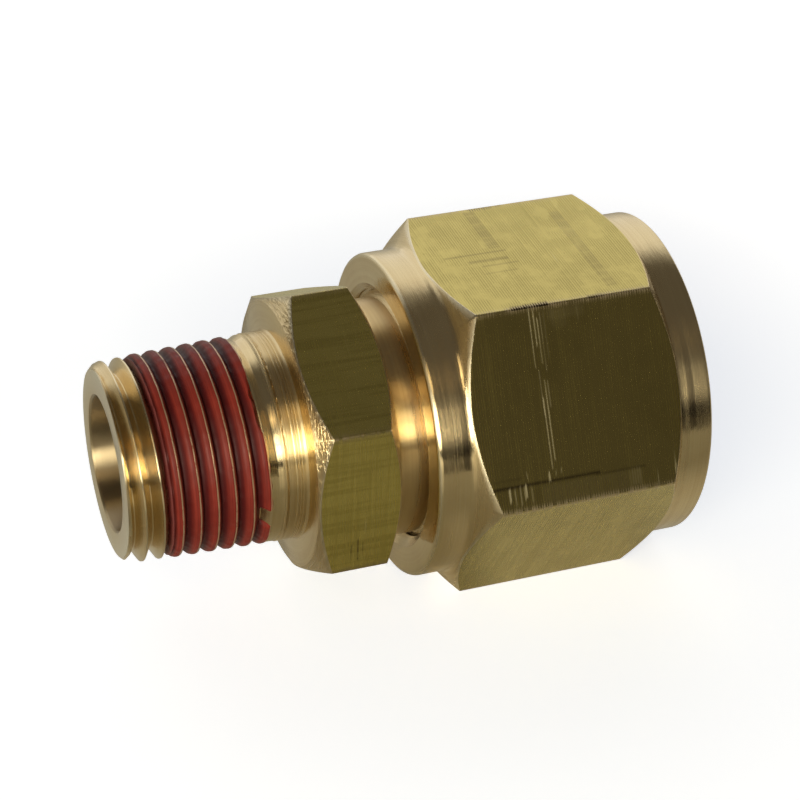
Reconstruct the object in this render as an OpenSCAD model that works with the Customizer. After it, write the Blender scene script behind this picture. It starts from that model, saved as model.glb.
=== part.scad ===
// Brass male connector for tubing, lying on one flat of its nut.
// A body with a taper pipe thread, a spanner hexagon and a compression thread carries a long nut,
// which traps a sleeve. A band of dry sealant is baked on the pipe thread.
// Each turned piece is drawn along its own axis, measured from the pipe end, and laid down at the end.

/* [Pipe thread] */
// Pitch of the taper pipe thread, 14 threads to the inch
pipe_pitch = 1.8143; // [1.4:0.0001:2.4]
// Diameter over the thread crests at the pipe end
pipe_crest_d = 20.72; // [20:0.01:21.4]
// Growth of the diameter for each millimetre of length, 1 in 16
pipe_taper = 0.0625; // [0.03:0.0005:0.07]
// Length of the threaded stretch, up to the neck
pipe_thread_len = 15.9; // [13:0.1:22]
// Depth of the thread from crest to root
pipe_thread_depth = 1.28; // [0.8:0.01:1.4]
// Width of the narrow flat on each crest
pipe_crest_flat = 0.2; // [0.1:0.01:0.4]
// Width of the narrow flat in each root
pipe_root_flat = 0.14; // [0.08:0.01:0.3]
// Width of the lead-in chamfer, from the end face out to the crests
pipe_end_chamfer = 0.62; // [0.3:0.01:0.9]
// Angle round the axis at which the thread starts
pipe_thread_start = 240; // [0:1:359]

/* [Sealant] */
// Distance from the pipe end to the front edge of the sealant
sealant_start = 3.75; // [2.5:0.05:6]
// Length of the coated band
sealant_len = 10.85; // [6:0.05:11]
// Thickness of the film over the crests
sealant_film = 0.07; // [0.04:0.01:0.12]
// Depth of sealant that lies in each root
sealant_fill = 0.8; // [0.4:0.01:0.95]

/* [Body] */
// Diameter of the flow bore
flow_bore_d = 14; // [10:0.1:15]
// Width of the broken edge at the mouth of the flow bore
bore_edge = 0.2; // [0.1:0.05:0.5]
// Diameter of the neck between the pipe thread and the hexagon
neck_d = 21.9; // [21.9:0.1:24]
// Length of the neck
neck_len = 2.42; // [2:0.01:6]
// Depth of the fine tool grooves in the neck
neck_groove = 0.1; // [0.05:0.01:0.2]
// Width across flats of the body hexagon
body_hex_af = 28.5; // [27:0.1:32]
// Length of the body hexagon
body_hex_len = 8.76; // [6:0.01:14]
// Diameter of the flat ring face at each end of the body hexagon
body_hex_face_d = 28; // [27:0.1:31]
// Length of the chamfer on the corners of the body hexagon
body_hex_chamfer = 1.43; // [0.6:0.01:2]
// Turn of the body hexagon from the nut's hexagon, as it was left when the nut was run on by hand
body_hex_turn = 30.7; // [0:0.1:60]

/* [Compression end of the body] */
// Diameter of the plain shoulder behind the compression thread
shoulder_d = 25.2; // [24:0.1:25.6]
// Length of the plain shoulder
shoulder_len = 3.3; // [3:0.05:6]
// Diameter of the compression thread, at half its depth
comp_thread_d = 25.9; // [25.9:0.1:26.6]
// Length of the compression thread with its nose
comp_thread_len = 12.62; // [9:0.01:14]
// Width of the lead-in chamfer on the nose
nose_chamfer = 0.9; // [0.4:0.1:1]
// Pitch of the compression thread, 16 threads to the inch
comp_pitch = 1.5875; // [1:0.0005:2]
// Outer diameter of the tube that is pushed in
tube_d = 19.05; // [18.5:0.01:19.2]
// Straight depth of the tube socket below the seat cone
socket_depth = 7; // [5:0.1:9]

/* [Nut] */
// Width across flats of the nut
nut_af = 34.92; // [34.2:0.01:36]
// Length of the nut
nut_len = 29.88; // [28:0.01:34]
// Gap between the body hexagon and the nut
nut_gap = 2.84; // [2.2:0.01:3]
// Angle from the axis of the cones that run up to the corners of the hexagon
nut_cone_angle = 55; // [40:1:65]
// Diameter of the collar at the mouth
mouth_collar_d = 34.5; // [34:0.1:34.6]
// Length of the collar at the mouth, up to the foot of the cone
mouth_collar_len = 3.73; // [2:0.01:4.5]
// Radius of the hollow between that collar and the cone
mouth_hollow = 1; // [0.3:0.1:1.5]
// Width of the rounded rim at the mouth
mouth_rim = 0.45; // [0.2:0.05:0.8]
// Diameter of the collar at the tube end
tube_collar_d = 35.06; // [34.6:0.01:35.4]
// Length of the collar at the tube end
tube_collar_len = 3.45; // [2:0.01:4.5]
// Width of the broken edge of the collar at the tube end
tube_rim = 0.2; // [0.1:0.05:0.6]
// Depth to which the nut is bored for its thread, from the mouth
nut_thread_depth = 16.6; // [16:0.1:18]
// Width of the countersink at the mouth
mouth_countersink = 1.1; // [0.5:0.05:1.3]
// Width of the broken edge where the tube enters
tube_entry_edge = 0.6; // [0.2:0.05:1]

/* [Sleeve] */
// Greatest diameter of the sleeve
sleeve_d = 23.2; // [22.4:0.1:23.6]
// Length of the plain middle of the sleeve
sleeve_mid_len = 2.6; // [1.5:0.1:3]
// Wall of the sleeve at its two thin ends
sleeve_edge = 0.4; // [0.3:0.05:0.6]

/* [Hidden] */
$fn = 96;
brass = [0.74, 0.62, 0.34];
pale_brass = [0.80, 0.70, 0.45];
sealant_red = [0.55, 0.13, 0.09];

// Clearances
thread_fit = 0.08;
tube_fit = 0.075;
sleeve_seat_gap = 0.1;
sealant_gap = 0.02;
past = 1;

// Stations along the axis, from the pipe end
neck_z = pipe_thread_len;
body_hex_z = neck_z + neck_len;
shoulder_z = body_hex_z + body_hex_len;
comp_thread_z = shoulder_z + shoulder_len;
nose_z = comp_thread_z + comp_thread_len;
nut_z = shoulder_z + nut_gap;
overall_len = nut_z + nut_len;

// Radii
face_r = pipe_crest_d / 2 - pipe_end_chamfer;
flow_r = flow_bore_d / 2;
socket_r = tube_d / 2 + tube_fit;
body_corner_r = body_hex_af / sqrt(3);
nut_corner_r = nut_af / sqrt(3);
nut_bore_r = comp_thread_d / 2 + thread_fit;

// The seat cones of the body and the nut, and the sleeve that lies between them
seat_slope = 0.7;
seat_mouth_r = sleeve_d / 2 + sleeve_seat_gap;
seat_len = (seat_mouth_r - socket_r) / seat_slope;
tighten_travel = 1.25 * comp_pitch;
sleeve_front_len = (sleeve_d / 2 - socket_r - sleeve_edge) / seat_slope;
sleeve_mid_z = nose_z + tighten_travel + 0.27;
nut_seat_z = sleeve_mid_z + sleeve_mid_len + sleeve_seat_gap;

// The thread as a family of helical lines
thread_sides = 48;
groove_fade_in = [0.25, 0.45];
groove_fade_out = [12.5 / 15.9 * pipe_thread_len, 15.5 / 15.9 * pipe_thread_len];
first_groove_z = pipe_pitch * pipe_thread_start / 360;
thread_rows = [-pipe_root_flat / 2, pipe_root_flat / 2,
               pipe_pitch / 2 - pipe_crest_flat / 2, pipe_pitch / 2 + pipe_crest_flat / 2];
sealant_rows = [-2 * pipe_root_flat, 2 * pipe_root_flat,
                pipe_pitch / 2 - pipe_crest_flat, pipe_pitch / 2 + pipe_crest_flat];

// Goes from 0 at a to 1 at b, and stays there outside
function ramp(x, a, b) = min(1, max(0, (x - a) / (b - a)));

// Radius of the taper over the crests
function crest_r(z) = pipe_crest_d / 2 + z * pipe_taper / 2;

// Depth of the groove whose middle is at z: none at the end face, and shallow where the thread runs out
function groove_depth(z) = pipe_thread_depth * ramp(z, groove_fade_in[0], groove_fade_in[1])
    * (1 - ramp(z, groove_fade_out[0], groove_fade_out[1]));

// Radius of row number row of the thread, at height z: roots on rows 0 and 1, crests on rows 2 and 3
function thread_r(row, z) = min(face_r + z,
    row < 2 ? crest_r(z) - groove_depth(z - thread_rows[row]) : crest_r(z));

// Radius of row number row of the sealant: the filled roots, and the film on the crests
function sealant_r(row, z) = row < 2
    ? crest_r(z) - max(0.12, groove_depth(z - sealant_rows[row]) - sealant_fill)
    : crest_r(z) + sealant_film;

// A screw surface between two planes, as points and faces. Each row is one helical line.
// The columns stand at equal angles, and each holds a point on the lower plane, a point for each
// row, and a point on the upper plane. One turn on, a row becomes the row of the next pitch.
function row_z(k, i, rows) = first_groove_z + pipe_pitch * (floor(k / 4) + i / thread_sides)
    + rows[k - 4 * floor(k / 4)];
function first_row(z0) = 4 * (floor((z0 - first_groove_z) / pipe_pitch) - 2);
function last_row(z1) = 4 * (ceil((z1 - first_groove_z) / pipe_pitch) + 2);
function lowest_row(i, z0, rows, eps) =
    min([for (k = [first_row(z0):first_row(z0) + 20]) if (row_z(k, i, rows) > z0 + eps) k]);
function highest_row(i, z1, rows, eps) =
    max([for (k = [last_row(z1) - 20:last_row(z1)]) if (row_z(k, i, rows) < z1 - eps) k]);
function column_size(z0, z1) = last_row(z1) - first_row(z0) + 3;
function polar(r, i, z) = [r * cos(360 * i / thread_sides), r * sin(360 * i / thread_sides), z];

// Points of a screw surface, when end_r0 and end_r1 are its radii on the two planes
function screw_points(z0, z1, rows, radius, end_r0, end_r1) = [
    for (i = [0:thread_sides - 1])
        for (m = [0:column_size(z0, z1) - 1])
            let (k = first_row(z0) + m - 1, z = row_z(k, i, rows), row = k - 4 * floor(k / 4))
                m == 0 ? polar(end_r0, i, z0)
                : m == column_size(z0, z1) - 1 ? polar(end_r1, i, z1)
                : polar(radius(row, z), i, z)
];

// Faces of a screw surface, seen anticlockwise from outside
function screw_faces(z0, z1, rows) = let (
    size = column_size(z0, z1),
    k0 = first_row(z0),
    eps = pipe_pitch / 60
) [
    for (i = [0:thread_sides - 1])
        let (
            wraps = i == thread_sides - 1,
            j = wraps ? 0 : i + 1,
            shift = wraps ? 4 : 0,
            a = i * size + 1 - k0,
            b = j * size + 1 - k0 + shift,
            low_a = i * size,
            low_b = j * size,
            top_a = i * size + size - 1,
            top_b = j * size + size - 1,
            lo_a = lowest_row(i, z0, rows, eps),
            lo_b = lowest_row(j, z0, rows, eps) - shift,
            hi_a = highest_row(i, z1, rows, eps),
            hi_b = highest_row(j, z1, rows, eps) - shift
        )
        each concat(
            [for (k = [lo_a:hi_b - 1]) each [[a + k, b + k, b + k + 1], [a + k, b + k + 1, a + k + 1]]],
            [[low_a, low_b, b + lo_b]],
            lo_b < lo_a ? [for (k = [lo_b:lo_a - 1]) [low_a, b + k, b + k + 1]] : [],
            [[low_a, b + lo_a, a + lo_a]],
            [[top_b, a + hi_b, b + hi_b]],
            hi_b < hi_a ? [for (k = [hi_b:hi_a - 1]) [top_b, a + k + 1, a + k]] : [],
            [[top_b, top_a, a + hi_a]]
        )
];
function reversed(face) = [for (k = [len(face) - 1:-1:0]) face[k]];
function moved(faces, by) = [for (face = faces) [for (k = face) k + by]];

// The threaded stud, not yet bored
module pipe_thread_stud() {
    z1 = pipe_thread_len;
    size = column_size(0, z1);
    points = screw_points(0, z1, thread_rows, function (row, z) thread_r(row, z), face_r, crest_r(z1));
    sides = screw_faces(0, z1, thread_rows);
    lower_end = [for (i = [0:thread_sides - 1]) i * size];
    upper_end = [for (i = [thread_sides - 1:-1:0]) i * size + size - 1];
    polyhedron(points, concat([for (face = sides) reversed(face)], [lower_end, upper_end]), 12);
}

// A hexagon bar cut to the outline of a turned profile
module turned_hexagon(across_flats, from_z, to_z, turn, profile) {
    intersection() {
        translate([0, 0, from_z])
            rotate([0, 0, turn])
                cylinder(r = across_flats / sqrt(3), h = to_z - from_z, $fn = 6);
        rotate_extrude()
            polygon(profile);
    }
}

// The body, bored through, with its two threads, neck, hexagon and shoulder
module body_outside() {
    hex_r = body_hex_face_d / 2;
    nose_r = comp_thread_d / 2;
    pipe_thread_stud();
    turned_hexagon(body_hex_af, body_hex_z, shoulder_z, -body_hex_turn + 30, [
        [0, body_hex_z],
        [hex_r, body_hex_z],
        [body_corner_r + 0.01, body_hex_z + body_hex_chamfer],
        [body_corner_r + 0.01, shoulder_z - body_hex_chamfer],
        [hex_r, shoulder_z],
        [0, shoulder_z]
    ]);
    rotate_extrude()
        polygon(concat(
            [[0, neck_z], [neck_d / 2, neck_z]],
            neck_grooves(),
            [
                [neck_d / 2, body_hex_z],
                [neck_d / 2, body_hex_z + 1],
                [shoulder_d / 2, body_hex_z + 1],
                [shoulder_d / 2, comp_thread_z],
                [nose_r, comp_thread_z + (nose_r - shoulder_d / 2)],
                [nose_r, nose_z - nose_chamfer],
                [nose_r - nose_chamfer, nose_z],
                [0, nose_z]
            ]
        ));
}

// The deeper groove at the foot of the neck and its three fine tool grooves, of V section
function neck_grooves() = [
    for (cut = [[0.12, 2.5], [0.45, 1], [0.6, 1], [0.75, 1]])
        let (z = neck_z + cut[0] * neck_len, depth = cut[1] * neck_groove, half = 0.7 * depth)
            each [[neck_d / 2, z - half], [neck_d / 2 - depth, z], [neck_d / 2, z + half]]
];

module connector_body() {
    socket_z = nose_z - seat_len - socket_depth;
    color(brass)
        difference() {
            body_outside();
            rotate_extrude()
                polygon([
                    [0, -past],
                    [flow_r + bore_edge + past, -past],
                    [flow_r, bore_edge],
                    [flow_r, socket_z],
                    [socket_r, socket_z],
                    [socket_r, nose_z - seat_len],
                    [seat_mouth_r + past * seat_slope, nose_z + past],
                    [0, nose_z + past]
                ]);
        }
}

// The band of sealant: its inner skin follows the thread with a hair's gap
module thread_sealant() {
    z0 = sealant_start;
    z1 = sealant_start + sealant_len;
    outer_size = column_size(z0, z1);
    outer_points = screw_points(z0, z1, sealant_rows, function (row, z) sealant_r(row, z),
                                crest_r(z0) + sealant_film, crest_r(z1) + sealant_film);
    inner_points = screw_points(z0, z1, thread_rows, function (row, z) thread_r(row, z) + sealant_gap,
                                crest_r(z0) + sealant_gap, crest_r(z1) + sealant_gap);
    outer = screw_faces(z0, z1, sealant_rows);
    inner = screw_faces(z0, z1, thread_rows);
    base = len(outer_points);
    top = outer_size - 1;
    ends = [
        for (i = [0:thread_sides - 1])
            let (a = i * outer_size, b = (i == thread_sides - 1 ? 0 : i + 1) * outer_size)
                each [
                    [a, b, base + b], [a, base + b, base + a],
                    [a + top, base + b + top, b + top], [a + top, base + a + top, base + b + top]
                ]
    ];
    color(sealant_red)
        polyhedron(concat(outer_points, inner_points),
                   concat([for (face = outer) reversed(face)], moved(inner, base), ends), 12);
}

// Arc from a cylinder of radius r into a cone whose foot is at z, round the hollow between them
function hollow_arc(r, z, bend, slope) = let (centre_z = z - bend * tan(slope / 2))
    [for (t = [0:6]) [r + bend * (1 - cos(slope * t / 6)), centre_z + bend * sin(slope * t / 6)]];

// The nut: a hexagon bar turned to a collar at each end, with a cone up to the corners
module compression_nut() {
    mouth_r = mouth_collar_d / 2;
    tube_r = tube_collar_d / 2;
    corner = nut_corner_r + 0.01;
    cone_z = nut_z + mouth_collar_len;
    back_cone_z = overall_len - tube_collar_len;
    color(brass)
        difference() {
            turned_hexagon(nut_af, nut_z, overall_len, 30, concat(
                [
                    [0, nut_z],
                    [mouth_r - mouth_rim, nut_z],
                    [mouth_r, nut_z + mouth_rim]
                ],
                hollow_arc(mouth_r, cone_z, mouth_hollow, nut_cone_angle),
                [
                    [corner, cone_z + (corner - mouth_r) / tan(nut_cone_angle)],
                    [corner, back_cone_z - (corner - tube_r) / tan(nut_cone_angle)],
                    [tube_r, back_cone_z],
                    [tube_r, overall_len - tube_rim],
                    [tube_r - tube_rim, overall_len],
                    [0, overall_len]
                ]
            ));
            nut_cavity();
        }
}

module nut_cavity() {
    entry_r = socket_r;
    thread_end = nut_z + nut_thread_depth;
    seat_end_z = nut_seat_z + (seat_mouth_r - entry_r) / seat_slope;
    rotate_extrude()
        polygon([
            [0, nut_z - past],
            [nut_bore_r + mouth_countersink + past, nut_z - past],
            [nut_bore_r, nut_z + mouth_countersink],
            [nut_bore_r, thread_end],
            [seat_mouth_r, thread_end],
            [seat_mouth_r, nut_seat_z],
            [entry_r, seat_end_z],
            [entry_r, overall_len - tube_entry_edge],
            [entry_r + tube_entry_edge + past, overall_len + past],
            [0, overall_len + past]
        ]);
}

// The sleeve: a ring that tapers to both ends and bites on the tube when the nut is tightened
module sleeve() {
    inner_r = socket_r;
    thin_r = inner_r + sleeve_edge;
    back_z = sleeve_mid_z + sleeve_mid_len;
    color(pale_brass)
        rotate_extrude()
            polygon([
                [inner_r, sleeve_mid_z - sleeve_front_len],
                [thin_r, sleeve_mid_z - sleeve_front_len],
                [sleeve_d / 2, sleeve_mid_z],
                [sleeve_d / 2, back_z],
                [thin_r, back_z + sleeve_front_len],
                [inner_r, back_z + sleeve_front_len]
            ]);
}

// Lays the fitting along X, pipe end to the left, with a flat of the nut on the ground
module laid_down() {
    translate([-overall_len / 2, 0, nut_af / 2])
        rotate([0, 90, 0])
            children();
}

laid_down() connector_body();
laid_down() thread_sealant();
laid_down() compression_nut();
laid_down() sleeve();
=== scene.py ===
"""Looks of the brass male connector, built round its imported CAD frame.

Lengths are in millimetres along the fitting's own axis. A station is the distance from the pipe end
face, and an angle turns about the axis from the side that faces the camera (-Y) towards the top (+Z).
"""

import math

import bpy
import numpy as np
from mathutils import Matrix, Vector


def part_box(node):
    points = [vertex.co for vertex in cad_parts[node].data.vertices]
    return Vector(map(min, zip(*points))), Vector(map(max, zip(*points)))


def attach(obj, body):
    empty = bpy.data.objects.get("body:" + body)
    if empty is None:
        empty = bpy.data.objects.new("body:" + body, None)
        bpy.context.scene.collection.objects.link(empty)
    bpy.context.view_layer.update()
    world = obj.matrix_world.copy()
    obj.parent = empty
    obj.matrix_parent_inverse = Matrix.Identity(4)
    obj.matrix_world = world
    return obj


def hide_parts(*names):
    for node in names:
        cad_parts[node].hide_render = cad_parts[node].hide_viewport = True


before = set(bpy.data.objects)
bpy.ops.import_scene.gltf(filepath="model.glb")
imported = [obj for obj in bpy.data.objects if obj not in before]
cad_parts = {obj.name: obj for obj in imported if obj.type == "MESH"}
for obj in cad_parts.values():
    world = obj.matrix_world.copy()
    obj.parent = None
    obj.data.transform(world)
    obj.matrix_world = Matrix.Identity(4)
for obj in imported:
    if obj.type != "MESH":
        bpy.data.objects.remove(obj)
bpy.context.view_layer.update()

# Places that the frame gives
MM = 0.001
nut_low, nut_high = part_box("compression_nut")
body_low, body_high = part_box("connector_body")
sleeve_low, sleeve_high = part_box("sleeve")
END_X = body_low.x
AXIS_Z = (nut_low.z + nut_high.z) / 2
NUT_FACE = (nut_low.x - END_X) / MM
NUT_END = (nut_high.x - END_X) / MM
NUT_AF = (nut_high.z - nut_low.z) / MM
NOSE = (body_high.x - END_X) / MM
SLEEVE_FRONT = (sleeve_low.x - END_X) / MM
SLEEVE_BACK = (sleeve_high.x - END_X) / MM

# Taper pipe thread
PIPE_PITCH = 1.8143
PIPE_CREST_R = 10.36
PIPE_TAPER = 0.0625
PIPE_LENGTH = 15.9
PIPE_DEPTH = 1.28
PIPE_GROOVE = 0.756
PIPE_FACE_R = 9.74
PIPE_FADE_IN = (0.05, 0.4)
PIPE_FADE_OUT = (12.5, 15.5)
PIPE_START = (0.02, 0.2)
PIPE_END = (15.5, 15.85)
PIPE_CROWN_FROM = (0.6, 1)
PIPE_CROWN_MOST = 0.03
# Half widths of the flat crest and root. The crown on the crest is a share of the thread's depth.
PIPE_CREST_FLAT = 0.09
PIPE_ROOT_FLAT = 0.07
PIPE_CROWN = 0.035
PIPE_CROWN_WIDTH = 0.1

# Sealant. Its edges start at the angle SEAL_START, and SEAL_LOW is the deepest place of a valley, as a share
# of the pitch from the groove's middle.
SEAL_SPAN = (3.1, 15.3)
SEAL_STEP = 0.1
SEAL_COLUMNS = 288
SEAL_FRONT = 4.0
SEAL_FRONT_WAVE = 0.09
SEAL_BACK = 14.3
SEAL_BACK_WAVE = 0.07
SEAL_BACK_BITE = 0.42
SEAL_START = 40
SEAL_FILM = 0.1
SEAL_SKIN = 0.05
SEAL_THINNEST = 0.07
SEAL_ROUGH = 0.03
SEAL_DEPTH = 0.66
SEAL_LOW = -0.17
SEAL_VALLEY_POWER = 1.7
# The bead along the front edge has a height and a width, the groove behind it a depth, width and distance.
SEAL_BEAD = (0.17, 0.11)
SEAL_DITCH = (0.14, 0.1, 0.24)
BEAD_INSET = 0.2
BEAD_MARK_WIDTH = 0.12
BARE_INSET = 0.05
BARE_WIDTH = 0.07

# Body
FLOW_R = 7.0
NECK_R = 10.95
NECK_RINGS = (16.45, 18.12)
NECK_GROOVES = ((16.99, 0.07), (17.37, 0.1), (17.72, 0.07))
NECK_FROM = 15.98
CUT_FROM = 16.04
CUT_AT = 16.19
CUT_TO = 16.34
CUT_DEPTH = 0.25
RING_STEP = 0.07
RING_DEPTHS = (-0.004, 0.014)
RING_HALF = 0.06
HEX_AF = 28.5
HEX_FROM = 18.32
HEX_TO = 27.08
HEX_FACE_R = 14.0
HEX_SLOPE = 1.717
HEX_TURN = 30.7
SHOULDER_R = 12.6
SHOULDER_TO = 30.38
NOSE_R = 12.05
TUBE_R = 9.6
SOCKET_FROM = 33.0
SOCKET_TO = 40.0
SEAT_R = 11.7

# Compression thread
COMP_PITCH = 1.5875
COMP_ROOT_R = 12.54
COMP_CREST_R = 13.4
COMP_GAP = 0.1
COMP_GROOVE = 0.4
COMP_ROOT_FLAT = 0.12
COMP_FLANK = 1.6

# Rows across one pitch of each thread, measured from the middle of its groove
PIPE_ROWS = PIPE_PITCH / 2 * np.array([
    -0.985, -0.91, -0.86, -0.45, -0.12, -0.06, 0.06, 0.12, 0.45, 0.86, 0.91, 0.985])
COMP_ROWS = COMP_PITCH / 2 * np.array([-0.9, -0.72, -0.14, 0.14, 0.72, 0.9])

# Nut
MOUTH_R = 17.25
MOUTH_RIM = 0.45
MOUTH_BEVEL = 0.13
MOUTH_FOOT = 33.65
SINK_R = MOUTH_R - 3.12
HOLLOW_R = 1.0
CONE_ANGLE = math.radians(55)
BACK_R = 17.44
BACK_FOOT = 56.35
THREAD_END = 46.52
RELIEF_R = 13.3
RELIEF = (THREAD_END - 1.2, THREAD_END - 0.7)
SEAT_FROM = 47.954
SEAT_TO = 50.954
# The nut has columns of its own at this angle on both sides of each flat's middle, in degrees.
FLAT_COLUMN = 5.1

# Sleeve
SLEEVE_R = 11.6
SLEEVE_TAPER = 2.2
SLEEVE_LIP = 0.4

# Weights and widths of the painted highlight lines on crests and rims
CREST_HIGHLIGHT = 0.7
CREST_HIGHLIGHT_WIDTH = 0.045
CRESTS_TO = 14.5
MOUTH_HIGHLIGHT = 0.75
MOUTH_HIGHLIGHT_WIDTH = 0.12

# Even columns round the axis, less those that lie closer than the gap to an extra one, in degrees
COLUMNS = 240
COLUMN_GAP = 0.25
CORNER_SPREAD = 0.9
SHARP = math.radians(32)
WELDS_PER_METRE = 1e7
FULL_TURN = 2 * math.pi


def ramp(x, a, b):
    """0 up to a, 1 from b on, and a straight line between."""
    return np.clip((x - a) / (b - a), 0, 1)


def ease(x, a, b):
    """0 up to a, 1 from b on, and the cubic 3t^2 - 2t^3 between."""
    t = ramp(x, a, b)
    return t * t * (3 - 2 * t)


def waves(angle, seed, low, high, count=9):
    """A closed random curve round the axis: a sum of cosines that have whole numbers of waves between low
    and high."""
    rng = np.random.default_rng(seed)
    n = rng.integers(low, high, count)[:, None]
    phase = rng.uniform(0, FULL_TURN, count)[:, None]
    size = rng.uniform(0.4, 1, count)[:, None]
    return (size * np.cos(n * np.ravel(angle) + phase)).sum(0).reshape(np.shape(angle)) / count ** 0.5


def round_angles(corners=(), halves=(0, 0.3, 0.6)):
    """Angles of one full turn, evenly spaced, with a few more beside each corner, in radians."""
    even = np.arange(COLUMNS) * 360 / COLUMNS
    extra = np.array([c + side * half for c in corners for half in halves for side in (1, -1)]) % 360
    apart = np.abs((even[:, None] - extra + 180) % 360 - 180).min(1, initial=180)
    inner = np.unique(np.round(np.concatenate([even[apart >= COLUMN_GAP], extra]), 6))
    inner = inner[(inner > 0.2) & (inner < 359.8)]
    return np.radians(np.concatenate([[0], inner, [360]]))


def corner_angles(turn):
    """Angles of the six corners of a hexagon, in degrees."""
    return turn + 60 * np.arange(6)


def hexagon_r(angle, across_flats, turn, land=0.05):
    """Radius of a hexagon: half the width over the cosine of the angle from the flat's middle.
    The corners are cut back by a narrow land."""
    from_corner = (angle - math.radians(turn)) % (FULL_TURN / 6)
    r = across_flats / 2 / np.cos(from_corner - FULL_TURN / 12)
    return np.minimum(r, across_flats / math.sqrt(3) - land)


def near_corner(angles, turn, s):
    """A mark for every row: 1 on a hexagon's corners, falling as the bell curve of the angle from them."""
    away = (np.degrees(angles) - turn + 30) % 60 - 30
    return np.exp(-(away / CORNER_SPREAD) ** 2) * np.ones_like(s)


def softened(points, soft):
    """A profile whose inner corners become short quadratic curves that reach soft along both sides."""
    p = np.asarray(points, float)
    step = np.diff(p, axis=0)
    size = np.linalg.norm(step, axis=1)[:, None]
    reach = np.minimum(soft, 0.4 * np.minimum(size[:-1], size[1:]))
    before = p[1:-1] - reach * step[:-1] / size[:-1]
    after = p[1:-1] + reach * step[1:] / size[1:]
    middle = (before + after + 2 * p[1:-1]) / 4
    inner = np.stack([before, middle, after], 1).reshape(-1, 2)
    return np.concatenate([p[:1], inner, p[-1:]])


def turned(points, angles, soft=0.05, step=None):
    """Rows of a turned surface: each profile point as a circle. Long stretches may get rows every step."""
    p = softened(points, soft)
    if step:
        parts = []
        for a, b in zip(p[:-1], p[1:]):
            count = max(1, int(np.ceil(np.linalg.norm(b - a) / step)))
            parts.append(a + (b - a) * np.arange(count)[:, None] / count)
        p = np.concatenate(parts + [p[-1:]])
    one = np.ones_like(angles)
    return p[:, :1] * one, p[:, 1:] * one


def cone(foot, foot_r, slope):
    """The station at which a cone through (foot, foot_r) has radius r: foot + (r - foot_r) / slope."""
    return lambda r: foot + (r - foot_r) / slope


def hollow_cone(foot, foot_r, bend, angle):
    """The same for a cone at an angle to the axis that starts with a hollow of radius bend on a cylinder.
    Up to the end of the hollow the station follows its circle, and past it the cone."""
    centre = foot - bend * math.tan(angle / 2)
    bend_end = foot_r + bend * (1 - math.cos(angle))

    def at(r):
        inside = np.clip(bend ** 2 - (foot_r + bend - np.minimum(r, bend_end)) ** 2, 0, None)
        return np.where(r < bend_end, centre + np.sqrt(inside), foot + (r - foot_r) / math.tan(angle))
    return at


def hexagon_rows(flat_r, rise, rise_r, fall, fall_r, soft=0.07):
    """Rows of a hexagon between two turned flanks. rise(r) and fall(r) give the station of each flank at a
    radius, from rise_r and fall_r outwards, so the rows beside a flat follow the arcs in which the flank
    cuts it."""
    low = np.minimum(rise_r, flat_r - 1e-4)
    high = np.minimum(fall_r, flat_r - 1e-4)
    top_l = np.maximum(flat_r - soft, low + 0.5 * (flat_r - low))
    top_r = np.maximum(flat_r - soft, high + 0.5 * (flat_r - high))
    left, right = rise(flat_r), fall(flat_r)
    part = np.array([0, 0.15, 0.3, 0.45, 0.6, 0.8, 1])[:, None]
    up_r = low + part ** 2 * (top_l - low)
    down_r = high + part[::-1] * (top_r - high)
    along = np.array([0, 0.012, 0.25, 0.5, 0.75, 0.988, 1])[:, None]
    flat_s = left + soft + along * (right - left - 2 * soft)
    dull = 0.2
    s = np.concatenate([rise(up_r), left[None], flat_s, right[None], fall(down_r)])
    r = np.concatenate([up_r, (flat_r - dull * (flat_r - top_l))[None], np.tile(flat_r, (len(along), 1)),
                        (flat_r - dull * (flat_r - top_r))[None], down_r])
    return s, r


def flank_rim(s, first):
    """A mark of 1 on the rows where a hexagon's first flank meets its flats: the last two of its eight."""
    row = np.arange(len(s))[:, None] - first + 0 * s
    return ((row == 6) | (row == 7)).astype(float)


def screw_rows(angles, pitch, groove, offsets, span, radius):
    """Rows that run along a right-hand helix, held inside span: station = groove + offset + whole pitches
    - pitch * angle / turn. radius(station, offset) gives each point's radius."""
    first = math.floor((span[0] - groove) / pitch) - 1
    last = math.ceil((span[1] - groove) / pitch) + 2
    offset = np.tile(offsets, last - first)[:, None]
    start = groove + np.repeat(np.arange(first, last), len(offsets))[:, None] * pitch + offset
    s = np.clip(start - pitch * angles / FULL_TURN, *span)
    return s, radius(s, offset * np.ones_like(s))


def pipe_crest_r(s):
    """Radius over the crests: the taper's straight line."""
    return PIPE_CREST_R + s * PIPE_TAPER / 2


def pipe_r(s, offset):
    """Radius of the pipe thread at a distance offset from the middle of its groove.

    The depth grows along straight flanks from the flat crest to the flat root, and fades out at both ends
    of the thread. A low crown stands on the crest, and the chamfer of the end face cuts everything.
    """
    half = PIPE_PITCH / 2
    from_crest = half - np.abs(offset)
    flank = ramp(from_crest, PIPE_CREST_FLAT, half - PIPE_ROOT_FLAT)
    rounded = flank - PIPE_CROWN * np.exp(-(from_crest / PIPE_CROWN_WIDTH) ** 2)
    middle = s - offset
    depth = PIPE_DEPTH * ramp(middle, *PIPE_FADE_IN) * (1 - ramp(middle, *PIPE_FADE_OUT))
    depth = depth * ramp(s, *PIPE_START) * (1 - ramp(s, *PIPE_END))
    thread = pipe_crest_r(s) - depth * np.maximum(rounded, -PIPE_CROWN_MOST * ramp(s, *PIPE_CROWN_FROM))
    return np.minimum(PIPE_FACE_R + s, thread)


def groove_offset(s, angle):
    """Signed distance along the axis from the middle of the nearest groove of the pipe thread."""
    run = s - PIPE_GROOVE + PIPE_PITCH * angle / FULL_TURN + PIPE_PITCH / 2
    return run % PIPE_PITCH - PIPE_PITCH / 2


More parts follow.
